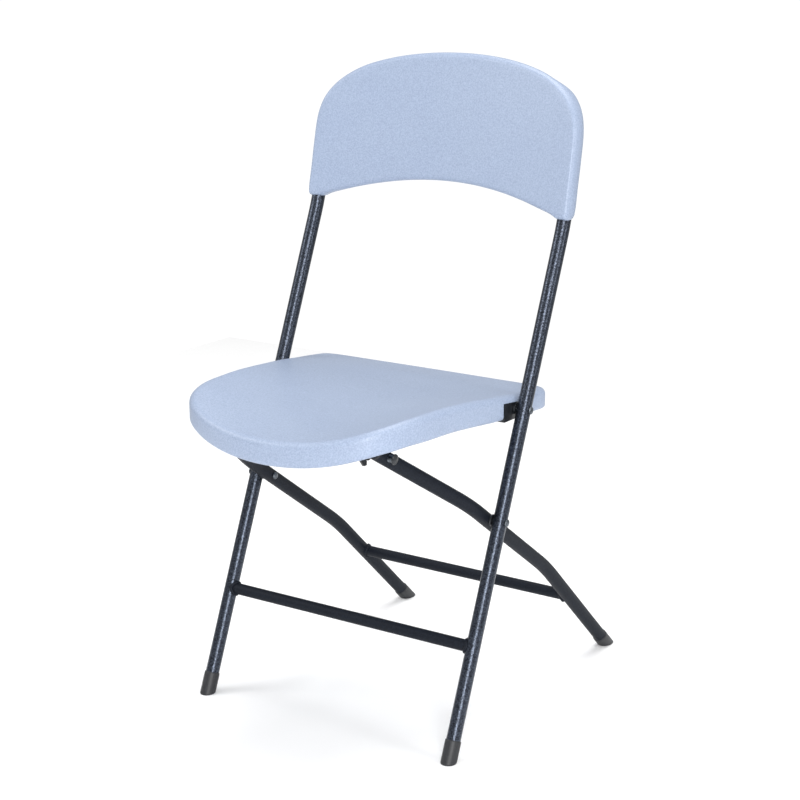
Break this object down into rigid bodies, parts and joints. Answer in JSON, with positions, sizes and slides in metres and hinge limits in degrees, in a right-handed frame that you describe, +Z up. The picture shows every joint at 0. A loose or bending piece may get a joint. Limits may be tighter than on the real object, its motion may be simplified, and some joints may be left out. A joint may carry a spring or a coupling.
{
  "type": "folding chair",
  "caption": "Cross-leg folding chair with steel-tube legs, a dished moulded plastic seat and a curved moulded plastic back panel.",
  "frame": {"origin": "middle of the overall width and depth, on the floor", "axes": "+Z up, the chair faces -Y, +X is the sitter's left"},
  "size_m": [0.4256, 0.615, 0.8728],
  "materials": {
    "moulded_plastic": "pale blue-grey moulded polyethylene with fine granite speckle",
    "painted_steel": "charcoal hammered powder coat",
    "black_plastic": "black satin plastic",
    "dark_zinc": "dark zinc plated steel",
    "black_steel": "black painted sheet steel",
    "nylon": "dark nylon"
  },
  "bodies": {
    "front_frame": {"upright_left": "painted_steel", "upright_right": "painted_steel", "front_crossbar": "painted_steel", "front_foot_cap_left": "black_plastic", "front_foot_cap_right": "black_plastic", "back_panel": "moulded_plastic", "back_screw_left": "dark_zinc", "back_screw_right": "dark_zinc", "crossing_rivet_left": "dark_zinc", "crossing_rivet_right": "dark_zinc", "crossing_spacer_left": "dark_zinc", "crossing_spacer_right": "dark_zinc", "seat_pivot_rivet_left": "dark_zinc", "seat_pivot_rivet_right": "dark_zinc", "seat_pivot_spacer_left": "dark_zinc", "seat_pivot_spacer_right": "dark_zinc"},
    "rear_frame": {"rear_leg_left": "painted_steel", "rear_leg_right": "painted_steel", "rear_crossbar": "painted_steel", "rear_foot_cap_left": "black_plastic", "rear_foot_cap_right": "black_plastic", "rear_leg_plug_left": "black_plastic", "rear_leg_plug_right": "black_plastic", "slide_rod": "dark_zinc", "slide_bush_left": "nylon", "slide_bush_right": "nylon", "slide_rod_cap_left": "dark_zinc", "slide_rod_cap_right": "dark_zinc"},
    "seat": {"seat_panel": "moulded_plastic", "seat_hinge_bracket_left": "black_steel", "seat_hinge_bracket_right": "black_steel", "slide_track_left": "black_steel", "slide_track_right": "black_steel", "hinge_screw_left_1": "dark_zinc", "hinge_screw_right_1": "dark_zinc", "hinge_screw_left_2": "dark_zinc", "hinge_screw_right_2": "dark_zinc", "track_screw_left_1": "dark_zinc", "track_screw_right_1": "dark_zinc", "track_screw_left_2": "dark_zinc", "track_screw_right_2": "dark_zinc"}
  },
  "joints": [
    {"name": "rear_leg_fold", "type": "hinge", "parent": "front_frame", "child": "rear_frame", "pos_m": [0, -0.06221, 0.2928], "axis": [-1, 0, 0], "range_deg": [0, 67]},
    {"name": "seat_fold", "type": "hinge", "parent": "front_frame", "child": "seat", "pos_m": [0, -0.00496, 0.431], "axis": [-1, 0, 0], "range_deg": [0, 95.71]}
  ],
  "couplings": [
    {"joint": "seat_fold", "follows": "rear_leg_fold", "ratio": 1.4286}
  ]
}
